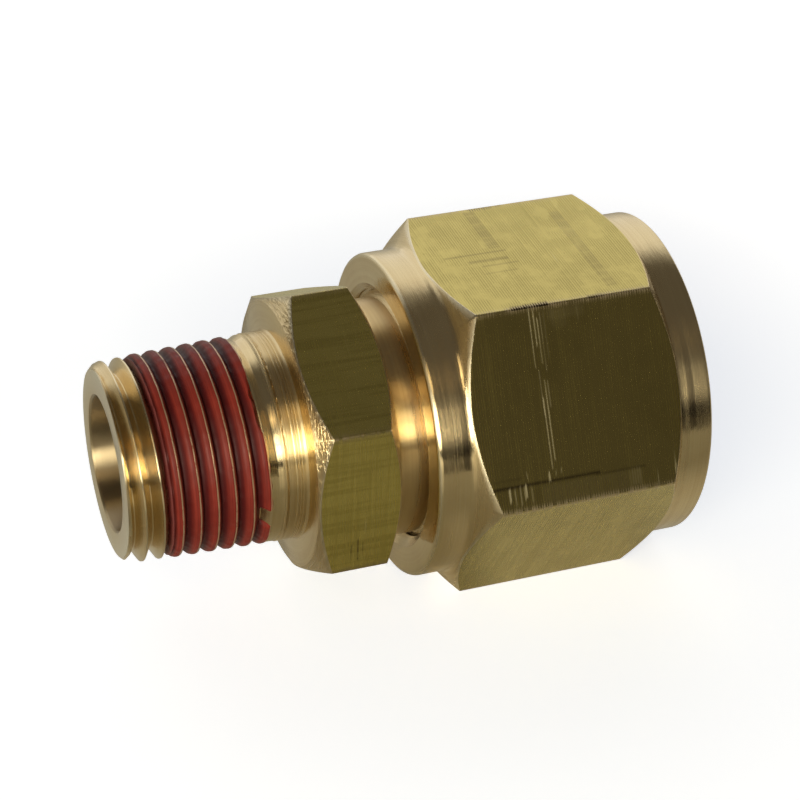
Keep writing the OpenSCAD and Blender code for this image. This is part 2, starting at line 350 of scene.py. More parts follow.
def comp_wave(offset):
    """Height of the compression thread over its root: a V of 64 degrees with flat root and crest."""
    return np.clip((np.abs(offset) - COMP_ROOT_FLAT) * COMP_FLANK, 0, COMP_CREST_R - COMP_ROOT_R)


def body_comp_r(s, offset):
    """The body's compression thread, with a chamfer at its start and its nose."""
    step = COMP_ROOT_R + comp_wave(offset) - SHOULDER_R
    grown = SHOULDER_R + step * ramp(s, SHOULDER_TO, SHOULDER_TO + 0.15)
    start = SHOULDER_R + (s - SHOULDER_TO)
    nose = NOSE_R + (NOSE - s)
    return np.minimum(np.minimum(grown, start), nose)


def nut_comp_r(s, offset):
    """The nut's thread: the body's, with a gap, a countersink at the mouth and a relief at its end."""
    thread = COMP_ROOT_R + COMP_GAP + comp_wave(offset)
    sink = SINK_R - (s - NUT_FACE)
    relief = ramp(s, *RELIEF)
    thread = thread * (1 - relief) + RELIEF_R * relief
    return np.maximum(thread, sink)


def place(s, r, angle):
    """Part frame: x = end + station, y = -r cos(angle), z = axis + r sin(angle), in metres."""
    x = END_X + s * MM
    return np.stack([x, -r * np.cos(angle) * MM, AXIS_Z + r * np.sin(angle) * MM], -1)


def surface(name, blocks, angles, flat=None, marks=None):
    """Joins blocks of rows into one closed surface and makes it a mesh.

    The grid has a row for each circle or helix and a column for each angle, and wraps round both ways.
    Points that coincide to a tenth of a micron are welded, and faces that shrink to a line are left out.
    UV has the angle and the row's place. flat marks the points on hexagon flats, whose faces get the second
    material.
    """
    s = np.concatenate([b[0] for b in blocks])
    r = np.concatenate([b[1] for b in blocks])
    rows, cols = s.shape
    points = place(s, r, angles[None, :]).reshape(-1, 3)
    row = np.arange(rows)[:, None]
    col = np.arange(cols - 1)[None, :]
    here = row * cols + col
    there = (row + 1) % rows * cols + col
    quads = np.stack([here, here + 1, there + 1, there], -1).reshape(-1, 4)
    off_ties = 0.237
    key = np.round(points * WELDS_PER_METRE + off_ties).astype(np.int64)
    _, first, weld = np.unique(key, axis=0, return_index=True, return_inverse=True)
    weld = weld.ravel()
    same = weld[quads] == weld[np.roll(quads, -1, 1)]
    whole = quads[same.sum(1) == 0]
    pinched = same.sum(1) == 1
    drop = same[pinched].argmax(1)
    keep = (drop[:, None] + np.arange(1, 4)[None, :]) % 4
    thirds = np.take_along_axis(quads[pinched], keep, 1)
    corner = points[whole]
    volume = np.einsum("ij,ij->", corner[:, 0], np.cross(corner[:, 1], corner[:, 2]))
    volume += np.einsum("ij,ij->", corner[:, 0], np.cross(corner[:, 2], corner[:, 3]))
    if volume < 0:
        whole, thirds = whole[:, ::-1], thirds[:, ::-1]
    mesh = bpy.data.meshes.new(name)
    mesh.from_pydata(points[first].tolist(), [], weld[whole].tolist() + weld[thirds].tolist())
    loops = np.concatenate([whole.ravel(), thirds.ravel()])
    along = np.cumsum(np.concatenate([[0], np.hypot(np.diff(s[:, 0]), np.diff(r[:, 0]))]))
    uv = np.stack([(loops % cols) / (cols - 1), along[loops // cols] * 0.02], -1)
    layer = mesh.uv_layers.new(name="UVMap")
    layer.data.foreach_set("uv", uv.astype(np.float32).ravel())
    for mark, values in (marks or {}).items():
        data = mesh.attributes.new(mark, "FLOAT", "POINT")
        data.data.foreach_set("value", np.asarray(values, np.float32).ravel()[first])
    if flat is not None:
        on = np.concatenate([flat.ravel()[whole].all(1), flat.ravel()[thirds].all(1)])
        mesh.polygons.foreach_set("material_index", on.astype(np.int32))
    mesh.shade_smooth()
    mesh.set_sharp_from_angle(angle=SHARP)
    mesh.update()
    obj = bpy.data.objects.new(name, mesh)
    bpy.context.scene.collection.objects.link(obj)
    return obj


def neck_rings():
    """Profile of the neck's tool marks: shallow rings of random depth, with three deeper grooves."""
    s = np.arange(NECK_RINGS[0], NECK_RINGS[1], RING_STEP)
    depth = np.random.default_rng(12).uniform(*RING_DEPTHS, len(s))
    grooves = [np.clip(1 - np.abs(s - at) / RING_HALF, 0, 1) * deep for at, deep in NECK_GROOVES]
    return list(zip(s, NECK_R - depth - np.sum(grooves, 0)))


def make_body():
    """The body in one loop: bores, end face, pipe thread, neck, hexagon, shoulder, compression thread."""
    angles = round_angles(corner_angles(HEX_TURN))
    flat_r = hexagon_r(angles, HEX_AF, HEX_TURN)
    inside = turned([
        (NOSE, NOSE_R), (NOSE, SEAT_R), (SOCKET_TO, TUBE_R), (SOCKET_FROM, TUBE_R), (SOCKET_FROM, FLOW_R),
        (0.2, FLOW_R), (0, FLOW_R + 0.2), (0, PIPE_FACE_R)], angles, 0.05, 2.5)
    thread = screw_rows(angles, PIPE_PITCH, PIPE_GROOVE, PIPE_ROWS, (0, PIPE_LENGTH), pipe_r)
    neck = turned([
        (PIPE_LENGTH, float(pipe_crest_r(PIPE_LENGTH))), (NECK_FROM, NECK_R), (CUT_FROM, NECK_R),
        (CUT_AT, NECK_R - CUT_DEPTH), (CUT_TO, NECK_R), *neck_rings(), (HEX_FROM, NECK_R + 0.12),
        (HEX_FROM, HEX_FACE_R)], angles, 0.02)
    hexagon = hexagon_rows(flat_r, cone(HEX_FROM, HEX_FACE_R, HEX_SLOPE), HEX_FACE_R,
                           cone(HEX_TO, HEX_FACE_R, -HEX_SLOPE), HEX_FACE_R)
    shoulder = turned([
        (HEX_TO, HEX_FACE_R), (HEX_TO, SHOULDER_R + 0.1), (HEX_TO + 0.1, SHOULDER_R),
        (SHOULDER_TO, SHOULDER_R)], angles, 0.05, 1.2)
    comp = screw_rows(angles, COMP_PITCH, COMP_GROOVE, COMP_ROWS, (SHOULDER_TO, NOSE), body_comp_r)
    blocks = [inside, thread, neck, hexagon, shoulder, comp]
    s = np.concatenate([b[0] for b in blocks])
    r = np.concatenate([b[1] for b in blocks])
    flat = (s > HEX_FROM + 0.1) & (s < HEX_TO - 0.1) & (r > flat_r - 1e-6)
    bore = np.arange(len(s))[:, None] < len(inside[0]) + 0 * s
    before = len(inside[0]) + len(thread[0]) + len(neck[0])
    from_crest = PIPE_PITCH / 2 - np.abs(groove_offset(s, angles))
    # Painted highlight lines on the thread's crests, the end face's lip and where the flanks meet the flats
    crest = np.exp(-(from_crest / CREST_HIGHLIGHT_WIDTH) ** 2) * (s < CRESTS_TO) * (r > PIPE_FACE_R + 0.1)
    lip = (s < 0.05) & (r > PIPE_FACE_R - 0.05)
    rim = np.maximum(flank_rim(s, before), np.maximum(CREST_HIGHLIGHT * crest, lip))
    body = surface("brass_body", blocks, angles, flat,
                   {"corner": near_corner(angles, HEX_TURN, s), "bore": bore, "rim": rim})
    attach(body, "body")
    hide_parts("connector_body")
    return body


def make_nut():
    """The nut in one loop: countersink, collar, hollow, cone, hexagon, back cone, collar, bores, thread."""
    beside = [corner_angles(30) + side * FLAT_COLUMN for side in (1, -1)]
    angles = round_angles(np.concatenate([corner_angles(0), *beside]))
    flat_r = hexagon_r(angles, NUT_AF, 0)
    hollow_start = MOUTH_FOOT - HOLLOW_R * math.tan(CONE_ANGLE / 2)
    front = turned([
        (NUT_FACE, SINK_R), (NUT_FACE, MOUTH_R - MOUTH_RIM), (NUT_FACE + MOUTH_BEVEL, MOUTH_R - MOUTH_BEVEL),
        (NUT_FACE + MOUTH_RIM, MOUTH_R), (hollow_start, MOUTH_R)], angles, 0.06, 1.5)
    hexagon = hexagon_rows(flat_r, hollow_cone(MOUTH_FOOT, MOUTH_R, HOLLOW_R, CONE_ANGLE), MOUTH_R,
                           cone(BACK_FOOT, BACK_R, -math.tan(CONE_ANGLE)), BACK_R)
    back = turned([
        (BACK_FOOT, BACK_R), (NUT_END - 0.2, BACK_R), (NUT_END, BACK_R - 0.2), (NUT_END, TUBE_R + 0.6),
        (NUT_END - 0.6, TUBE_R), (SEAT_TO, TUBE_R), (SEAT_FROM, SEAT_R), (THREAD_END, SEAT_R),
        (THREAD_END, RELIEF_R)], angles, 0.05, 1.5)
    comp = screw_rows(angles, COMP_PITCH, COMP_GROOVE, COMP_ROWS, (NUT_FACE, THREAD_END), nut_comp_r)
    blocks = [front, hexagon, back, (comp[0][::-1], comp[1][::-1])]
    s = np.concatenate([b[0] for b in blocks])
    r = np.concatenate([b[1] for b in blocks])
    flat = (s > NUT_FACE + 1) & (r > flat_r - 3e-4)
    # Painted highlight lines on the mouth's bevel and where the flank meets the flats
    mouth = np.exp(-((s - NUT_FACE - MOUTH_BEVEL) / MOUTH_HIGHLIGHT_WIDTH) ** 2)
    mouth = mouth * (r > MOUTH_R - MOUTH_RIM) * (s < NUT_FACE + 0.6)
    rim = np.maximum(flank_rim(s, len(front[0])), MOUTH_HIGHLIGHT * mouth)
    nut = surface("brass_nut", blocks, angles, flat, {"corner": near_corner(angles, 0, s), "rim": rim})
    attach(nut, "nut")
    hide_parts("compression_nut")
    return nut


def make_sleeve():
    """The sleeve: a ring with a plain middle, tapered to both thin ends."""
    angles = round_angles()
    ring = turned([
        (SLEEVE_FRONT + 1, TUBE_R), (SLEEVE_FRONT, TUBE_R), (SLEEVE_FRONT, TUBE_R + SLEEVE_LIP),
        (SLEEVE_FRONT + SLEEVE_TAPER, SLEEVE_R), (SLEEVE_BACK - SLEEVE_TAPER, SLEEVE_R),
        (SLEEVE_BACK, TUBE_R + SLEEVE_LIP), (SLEEVE_BACK, TUBE_R), (SLEEVE_FRONT + 1, TUBE_R)],
        angles, 0.06, 0.8)
    sleeve = surface("brass_sleeve", [ring], angles)
    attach(sleeve, "sleeve_body")
    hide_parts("sleeve")
    return sleeve


def seal_follow(angle):
    """The coat's edges start at one angle and follow the helix both ways from it, with a step opposite.
    Gives the degrees from that start, -180 to 180, and how far the helix has carried an edge."""
    turn = (np.degrees(angle) - SEAL_START + 180) % 360 - 180
    return turn, turn / 360 * (1 - ease(np.abs(turn), 110, 175)) * PIPE_PITCH


def seal_cover(s, angle):
    """How fully the sealant covers the thread, 0 to 1: between a wavy front edge that follows a groove and
    a ragged back edge that follows a crest, less a chipped patch near the neck."""
    turn, follow = seal_follow(angle)
    front = SEAL_FRONT - follow + SEAL_FRONT_WAVE * waves(angle, 3, 3, 24)
    back = SEAL_BACK - follow + SEAL_BACK_WAVE * waves(angle, 5, 4, 40)
    back = back - SEAL_BACK_BITE * ease(turn, -8, 6) * (1 - ease(turn, 22, 40))
    patch = ease(s, 13.3, 13.5) * ease(turn, -62, -59) * (1 - ease(turn, -49, -46))
    cover = ease(s, front - 0.04, front + 0.12) * (1 - ease(s, back - 0.1, back + 0.06))
    return cover * (1 - patch)


def make_sealant():
    """The coat of sealant. Its outside has the thread's crests and a rounded valley in each groove where it
    covers the thread, and lies just under the brass where it doesn't. Its inside is a skin under the
    surface of the thread."""
    angles = np.radians(np.linspace(0, 360, SEAL_COLUMNS + 1))
    s = np.arange(SEAL_SPAN[0], SEAL_SPAN[1], SEAL_STEP)[:, None] * np.ones_like(angles)
    offset = groove_offset(s, angles[None, :])
    brass = pipe_r(s, offset)
    half = PIPE_PITCH / 2
    low = SEAL_LOW * PIPE_PITCH
    side = np.where(offset < low, (offset - low) / (half + low), (offset - low) / (half - low))
    valley = np.cos(math.pi / 2 * side) ** 2
    rough = SEAL_ROUGH * waves(angles, 8, 5, 60)[None, :] * np.cos(3 * s)
    coat = pipe_crest_r(s) + SEAL_FILM - SEAL_DEPTH * valley ** SEAL_VALLEY_POWER + rough
    coat = np.maximum(coat, brass + SEAL_THINNEST)
    _, follow = seal_follow(angles)
    from_bead = s - SEAL_FRONT - BEAD_INSET + follow
    height, width = SEAL_BEAD
    deep, ditch_width, behind = SEAL_DITCH
    ditch = np.exp(-((from_bead - behind) / ditch_width) ** 2)
    coat = coat + height * np.exp(-(from_bead / width) ** 2) - deep * ditch
    coat = np.maximum(coat, brass + SEAL_SKIN)
    cover = seal_cover(s, angles[None, :])
    outer = brass - SEAL_SKIN + (coat - brass + SEAL_SKIN) * cover
    inner = brass - 2 * SEAL_SKIN
    lip = (offset + half - BARE_INSET + half) % PIPE_PITCH - half
    crest = np.exp(-(lip / BARE_WIDTH) ** 2)
    # Painted highlight on the bead and painted shade in the groove behind it
    bead = (np.exp(-(from_bead / BEAD_MARK_WIDTH) ** 2) - ditch) * cover
    blocks = [(s, outer), (s[::-1], inner[::-1])]
    marks = {"crest": crest, "valley": valley, "offset": offset, "bead": bead}
    marks = {name: np.concatenate([mark, mark]) for name, mark in marks.items()}
    seal = surface("red_sealant_coat", blocks, angles, None, marks)
    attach(seal, "body")
    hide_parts("thread_sealant")
    return seal


# Colours

PALE = (0.80, 0.645, 0.37, 1)
WARM = (0.68, 0.515, 0.275, 1)
BORE = (0.52, 0.41, 0.25, 1)
# Painted highlight: the pale colour of the lines along rims, bevels and crests
EDGE_HIGHLIGHT = (0.93, 0.84, 0.62, 1)
OLIVE = (0.62, 0.50, 0.16, 1)
DARK_OLIVE = (0.45, 0.36, 0.11, 1)
BODY_OLIVE = (0.80, 0.67, 0.21, 1)
DARK_BODY_OLIVE = (0.56, 0.46, 0.13, 1)
WORN = (0.62, 0.50, 0.34, 1)
DARK_WORN = (0.36, 0.28, 0.17, 1)
SCRATCH = (0.80, 0.70, 0.42, 1)
STAIN = (0.16, 0.115, 0.05, 1)
NICK = (0.09, 0.065, 0.03, 1)

RED = (0.235, 0.026, 0.016, 1)
RED_PATCH = (0.19, 0.020, 0.012, 1)
COMBED_RED = (0.11, 0.010, 0.007, 1)
# Painted shade in the sealant's valleys
VALLEY_SHADE_RED = (0.068, 0.006, 0.006, 1)
# Painted highlight on the front bead, and painted shade in the groove behind it
BEAD_HIGHLIGHT_RED = (0.26, 0.075, 0.07, 1)
DITCH_SHADE_RED = (0.03, 0.004, 0.004, 1)
BARE_CREST = (0.60, 0.43, 0.28, 1)

WHITE = (1, 1, 1, 1)
CEILING = (0.105, 0.096, 0.082, 1)
DIM_ROOM = (0.079, 0.071, 0.062, 1)
LEFT_GLOW = (0.25, 0.20, 0.11, 1)
DARK_AHEAD = (0.012, 0.011, 0.010, 1)
BACKDROP = (0.90, 0.9, 0.88, 1)
PAPER = (0.8, 0.8, 0.8, 1)
PAPER_NEAR = (0.575, 0.605, 0.66, 1)
PAPER_AWAY = (0.86, 0.86, 0.86, 1)
PAPER_GLOW = (1, 0.98, 0.88, 1)
REFLECTED = (0.43, 0.425, 0.375, 1)
# Painted shade in front and painted light on the left of the floor, seen only in mirrors
MIRRORED_SHADE_AHEAD = (0.05, 0.047, 0.044, 1)
MIRRORED_LIGHT_LEFT = (0.85, 0.83, 0.76, 1)

# Marks on the flats. Each row has the facet's angle, station from and to, across from and to, and weight.
BOX_INPUTS = ("Station", "Station low", "Station high", "Across", "Across low", "Across high")
BOX_EDGES = (("Station", 0.07), ("Across", 0.2))
NUT_SCRATCHES = [
    (30, 41.06, 41.2, 3.9, 9.7, 0.9), (30, 41.5, 41.64, 5.9, 9.6, 1.0), (30, 41.86, 42.0, 4.3, 8.7, 1.0),
    (30, 42.2, 42.32, 3.4, 9.4, 0.6), (30, 42.6, 42.7, 4.5, 9.2, 0.35), (30, 41.35, 41.47, -1.2, 3.6, 0.5),
    (30, 41.42, 41.56, -6.3, 0.9, 0.9), (30, 41.8, 41.94, -5.6, 2.6, 0.9), (30, 42.1, 42.24, -0.4, 2.4, 0.6),
    (30, 43.0, 47.0, 8.4, 9.5, 0.12), (30, 40.0, 51.0, -9.9, -7.9, 0.12), (30, 49.6, 51.0, -9.6, -7.8, 0.2),
    (30, 36.5, 36.75, -9.1, -7.7, 1.0), (30, 37.1, 37.25, -9.4, -7.6, 0.8),
    (30, 37.7, 37.85, -9.6, -7.6, 0.7), (30, 38.15, 38.5, -8.9, -7.5, 1.0), (30, 38.9, 39.1, -9.3, -7.6, 0.6),
    (30, 40.9, 41.15, -7.6, -6.6, 1.0), (30, 38.6, 38.8, -7.0, -6.3, 0.5), (30, 41.7, 41.85, -7.0, -6.5, 0.6),
    (30, 42.3, 42.45, -6.9, -6.4, 0.6), (30, 43.4, 45.0, 7.6, 9.5, 0.1), (30, 46.2, 46.4, 7.9, 9.5, 0.2)]
NUT_NICKS = [
    (90, 39.4, 43.4, -10.6, -9.85, 1.0), (90, 47.6, 49.4, -10.5, -10.0, 0.7),
    (90, 41.8, 46.6, 9.8, 10.6, 0.5)]
NUT_STAINS = [
    (30, 34.4, 46.5, -7.6, -7.3, 0.9), (30, 34.4, 38.0, -6.8, -6.6, 0.5), (30, 46.0, 51.5, -7.8, -7.6, 0.5),
    (90, 41.6, 42.8, 1.7, 9.4, 0.28), (90, 50.4, 51.6, -8.6, 7.0, 0.25), (90, 36.4, 43.2, 0.9, 1.1, 0.5),
    (90, 38.6, 42.9, -0.7, -0.2, 0.45), (90, 39.6, 43.6, -1.6, -1.4, 0.4), (90, 39.4, 43.0, -3.0, -2.8, 0.3)]
BODY_STAINS = [
    (0.7, 21.65, 21.8, -6.9, -5.0, 0.5), (0.7, 22.35, 22.5, -7.0, -4.4, 0.8),
    (0.7, 22.9, 23.0, -6.6, -4.9, 0.6)]

# Heights of the bumps and spacing of the lines across the bar, in metres
TURNED_BUMP = 0.000011
BAR_BUMP = 0.000012
SEALANT_BUMP = 0.000015
CHATTER = 0.00027


# Node trees

class Tree:
    """A small writer of node trees: add a node, set its values, and link what is passed as a socket."""

    def __init__(self, tree):
        self.tree = tree

    def add(self, kind, inputs=None, **settings):
        node = self.tree.nodes.new(kind)
        for name, value in settings.items():
            setattr(node, name, value)
        for name, value in (inputs or {}).items():
            self.put(node.inputs[name], value)
        return node

    def put(self, socket, value):
        if isinstance(value, bpy.types.NodeSocket):
            self.tree.links.new(value, socket)
        else:
            socket.default_value = value

    def math(self, kind, a, b=0.0, c=None, clamp=False):
        node = self.add("ShaderNodeMath", {0: a, 1: b}, operation=kind, use_clamp=clamp)
        if c is not None:
            self.put(node.inputs[2], c)
        return node.outputs[0]

    def plus(self, a, b):
        return self.math("ADD", a, b)

    def minus(self, a, b):
        return self.math("SUBTRACT", a, b)

    def times(self, a, b):
        return self.math("MULTIPLY", a, b)

    def times_plus(self, a, b, c):
        return self.math("MULTIPLY_ADD", a, b, c)

    def range(self, value, low, high, to_low=0.0, to_high=1.0):
        """Runs from to_low to to_high as value goes from low to high, with soft ends."""
        ends = {"From Min": low, "From Max": high, "To Min": to_low, "To Max": to_high}
        node = self.add("ShaderNodeMapRange", {"Value": value, **ends}, interpolation_type="SMOOTHSTEP")
        return node.outputs["Result"]

    def vector(self, x, y, z):
        return self.add("ShaderNodeCombineXYZ", {0: x, 1: y, 2: z}).outputs[0]

    def split(self, vector):
        return self.add("ShaderNodeSeparateXYZ", {0: vector}).outputs

    def coordinate(self, kind="Object"):
        return self.add("ShaderNodeTexCoord").outputs[kind]

    def mark(self, name):
        """A number that the mesh carries at each of its points."""
        return self.add("ShaderNodeAttribute", attribute_name=name).outputs["Fac"]

    def stretched(self, xyz, along, across):
        """Coordinates scaled by along on the fitting's axis and by across in the other two."""
        y = self.times(xyz[1], across)
        z = self.times(xyz[2], across)
        return self.vector(self.times(xyz[0], along), y, z)

    def mix(self, factor, a, b):
        node = self.add("ShaderNodeMix", data_type="RGBA")
        self.put(node.inputs[0], factor)
        self.put(node.inputs[6], a)
        self.put(node.inputs[7], b)
        return node.outputs[2]

    def noise(self, vector, scale, detail, rough, w):
        inputs = {"Vector": vector, "Scale": scale, "Detail": detail, "Roughness": rough}
        node = self.add("ShaderNodeTexNoise", inputs, noise_dimensions="4D")
        self.put(node.inputs["W"], w)
        return node.outputs["Fac"]

    def bump(self, height, distance):
        node = self.add("ShaderNodeBump", {"Height": height, "Strength": 1.0, "Distance": distance})
        return node.outputs[0]


def group(name, inputs, outputs):
    """A new shader node group with number inputs (name, value) and number outputs, and its writer."""
    made = bpy.data.node_groups.new(name, "ShaderNodeTree")
    for label, value in inputs:
        socket = made.interface.new_socket(label, in_out="INPUT", socket_type="NodeSocketFloat")
        socket.default_value = value
    for label in outputs:
        made.interface.new_socket(label, in_out="OUTPUT", socket_type="NodeSocketFloat")
    tree = Tree(made)
    start = tree.add("NodeGroupInput").outputs
    end = tree.add("NodeGroupOutput").inputs
    return made, tree, start, end


def lathe_group():
    """Tool marks of turning. Lines and Bands run round the axis: noise in station and radius that changes
    slowly with the angle. Blotches are even patches, and Brush is short strokes across the axis."""
    made, t, start, end = group("lathe_marks", [("Lines per mm", 3.0), ("Seed", 0.0)],
                                ["Lines", "Bands", "Blotches", "Brush"])
    where = t.coordinate()
    xyz = t.split(where)
    up = t.minus(xyz[2], AXIS_Z)
    r = t.math("SQRT", t.plus(t.times(xyz[1], xyz[1]), t.times(up, up)))
    round_y = t.math("DIVIDE", xyz[1], r)
    round_z = t.math("DIVIDE", up, r)

    def ring_noise(per_metre, turning, detail, rough):
        at = t.vector(t.times(xyz[0], per_metre), t.times(r, per_metre), t.times(round_y, turning))
        return t.noise(at, 1.0, detail, rough, t.times_plus(round_z, turning, start["Seed"]))

    t.put(end["Lines"], ring_noise(t.times(start["Lines per mm"], 1000), 0.5, 3.0, 0.65))
    t.put(end["Bands"], ring_noise(900, 0.6, 2.0, 0.6))
    t.put(end["Blotches"], t.noise(where, 160.0, 3.0, 0.55, start["Seed"]))
    t.put(end["Brush"], t.noise(t.stretched(xyz, 8000, 1000), 1.0, 2.0, 0.5, start["Seed"]))
    return made


def mark_box():
    """A soft-edged box on a flat: 1 where station and across both lie between their limits, in mm."""
    made, t, start, end = group("mark_box", [(n, 0.0) for n in BOX_INPUTS], ["Mask"])
    sides = []
    for name, edge in BOX_EDGES:
        low = t.minus(start[name], start[name + " low"])
        high = t.minus(start[name + " high"], start[name])
        sides.append(t.range(t.math("MINIMUM", low, high), -edge, edge))
    t.put(end["Mask"], t.times(*sides))
    return made


def flats_group():
    """Marks of a drawn hexagon bar: regular fine lines across the bar, a sine in station bent and broken by
    noise, with streaks along the bar, dark smudges and sparse bright scratches."""
    made, t, start, end = group("bar_marks", [("Seed", 0.0), ("Regular", 0.55)],
                                ["Lines", "Relief", "Streaks", "Smudges", "Scratches"])
    seed = start["Seed"]
    where = t.coordinate()
    xyz = t.split(where)
    drag = t.noise(t.stretched(xyz, 2600, 60), 1.0, 3.0, 0.7, seed)

    # Flats that look up are lined most, and those that look down have the least relief.
    upwards = t.split(t.coordinate("Normal"))[2]
    regular = t.times(start["Regular"], t.range(upwards, 0.5, 0.95, 0.45, 1.0))
    phase = t.times_plus(xyz[0], FULL_TURN / CHATTER, t.times(drag, 5.0))
    chatter = t.times_plus(t.math("SINE", phase), 0.5, 0.5)
    relief = t.times_plus(t.times(chatter, regular), 0.5, t.times(drag, 0.5))
    t.put(end["Relief"], t.times(relief, t.range(upwards, -0.45, 0.1, 0.4, 1.0)))

    broken = t.noise(where, 420.0, 2.0, 0.6, seed)
    chatter = t.times(chatter, t.range(broken, 0.3, 0.6, 0.25, 1.0))
    rest = t.minus(1.0, regular)
    t.put(end["Lines"], t.plus(t.times(drag, rest), t.times(chatter, regular)))
    t.put(end["Streaks"], t.noise(t.stretched(xyz, 60, 1800), 1.0, 3.0, 0.6, seed))
    t.put(end["Smudges"], t.noise(where, 140.0, 4.0, 0.6, seed))
    scratch = t.noise(t.stretched(xyz, 1500, 110), 1.0, 2.0, 0.5, t.plus(seed, 7.3))
    where_scratched = t.range(t.noise(where, 90.0, 1.0, 0.5, seed), 0.55, 0.7)
    t.put(end["Scratches"], t.times(t.range(scratch, 0.66, 0.74), where_scratched))
    return made


def placed_marks(t, box, marks, reach, ragged=None):
    """Sums marks that lie at known places on flats. A point is on a facet when its distance along the
    facet's normal passes reach. ragged moves the marks' ends."""
    xyz = t.split(t.coordinate())
    station = t.times(t.minus(xyz[0], END_X), 1 / MM)
    up = t.minus(xyz[2], AXIS_Z)
    total = 0.0
    for facet in sorted({row[0] for row in marks}):
        c = math.cos(math.radians(facet))
        s = math.sin(math.radians(facet))
        out = t.times(t.plus(t.times(xyz[1], -c), t.times(up, s)), 1 / MM)
        across = t.times(t.plus(t.times(xyz[1], s), t.times(up, c)), 1 / MM)
        if ragged:
            across = t.plus(across, ragged)
        here = 0.0
        for _, s0, s1, b0, b1, weight in [row for row in marks if row[0] == facet]:
            mark = t.add("ShaderNodeGroup", node_tree=box)
            for name, value in zip(BOX_INPUTS, (station, s0, s1, across, b0, b1)):
                t.put(mark.inputs[name], value)
            here = t.times_plus(mark.outputs[0], weight, here)
        total = t.plus(total, t.times(here, t.math("GREATER_THAN", out, reach)))
    return total


def material(name):
    """A new material with an empty tree, and its Principled shader."""
    made = bpy.data.materials.new(name)
    made.use_nodes = True
    made.node_tree.nodes.clear()
    t = Tree(made.node_tree)
    shader = t.add("ShaderNodeBsdfPrincipled")
    out = t.add("ShaderNodeOutputMaterial")
    made.node_tree.links.new(shader.outputs[0], out.inputs["Surface"])
    return made, t, shader


def turned_brass(name, marks, seed, rough=0.22, lines=5.0, fine_to=None, bore=None, brushed=0.0,
                 rough_cones=0.0):
    """Freshly turned brass: pale gold with streaks round the axis, mirror-like between them.

    Up to the station fine_to the finish is finer, bore is the colour inside, brushed adds strokes
    everywhere, and rough_cones adds a grain to the cones beside the flats.
    """
    made, t, shader = material(name)
    lathe = t.add("ShaderNodeGroup", node_tree=marks)
    lathe.inputs["Seed"].default_value = seed
    lathe.inputs["Lines per mm"].default_value = lines
    fine = lathe.outputs["Lines"]
    bands = lathe.outputs["Bands"]
    blotches = lathe.outputs["Blotches"]
    brush = lathe.outputs["Brush"]
    faces = t.math("ABSOLUTE", t.split(t.coordinate("Normal"))[0])
    faced = t.range(faces, 0.9, 0.99)
    not_faced = t.minus(1.0, faced)

    shade = t.plus(t.range(fine, 0.3, 0.7, 0.0, 0.5), t.range(blotches, 0.35, 0.75, 0.0, 0.5))
    base = t.mix(shade, PALE, WARM)
    if bore:
        inside = t.times(t.mark("bore"), not_faced)
        base = t.mix(inside, base, bore)
    # Painted highlight: a pale line along rims, bevels and crests
    rim = t.times(t.mark("rim"), t.range(blotches, 0.4, 0.6, 0.45, 1.0))
    t.put(shader.inputs["Base Color"], t.mix(rim, base, EDGE_HIGHLIGHT))

    gloss = t.range(bands, 0.3, 0.7, rough - 0.05, rough + 0.07)
    gloss = t.plus(gloss, t.range(fine, 0.35, 0.65, 0.0, 0.06))
    gloss = t.times_plus(rim, 0.25, gloss)
    gloss = t.times(gloss, t.times_plus(faced, -0.55, 1.0))
    cones = t.times(t.range(faces, 0.6, 0.8), not_faced)
    if fine_to:
        along = t.split(t.coordinate())[0]
        fine_end = END_X + fine_to * MM
        gloss = t.times(gloss, t.range(along, END_X + (fine_to - 0.3) * MM, fine_end, 0.65, 1.0))
        cones = t.times(cones, t.range(along, fine_end, END_X + (fine_to + 0.3) * MM))
    if bore:
        gloss = t.times_plus(inside, 0.2, gloss)
    t.put(shader.inputs["Roughness"], gloss)

    height = t.plus(t.times_plus(brush, brushed, fine), t.times(bands, 1.5))
    grain = t.range(brush, 0.42, 0.62)
    height = t.times_plus(t.times(cones, rough_cones), grain, height)
    t.put(shader.inputs["Normal"], t.bump(height, TURNED_BUMP))
    shader.inputs["Metallic"].default_value = 1.0
    shader.inputs["Anisotropic"].default_value = 1.0
    shader.inputs["Anisotropic Rotation"].default_value = 0.25
    tangent = t.add("ShaderNodeTangent", direction_type="UV_MAP", uv_map="UVMap")
    t.put(shader.inputs["Tangent"], tangent.outputs[0])
    return made


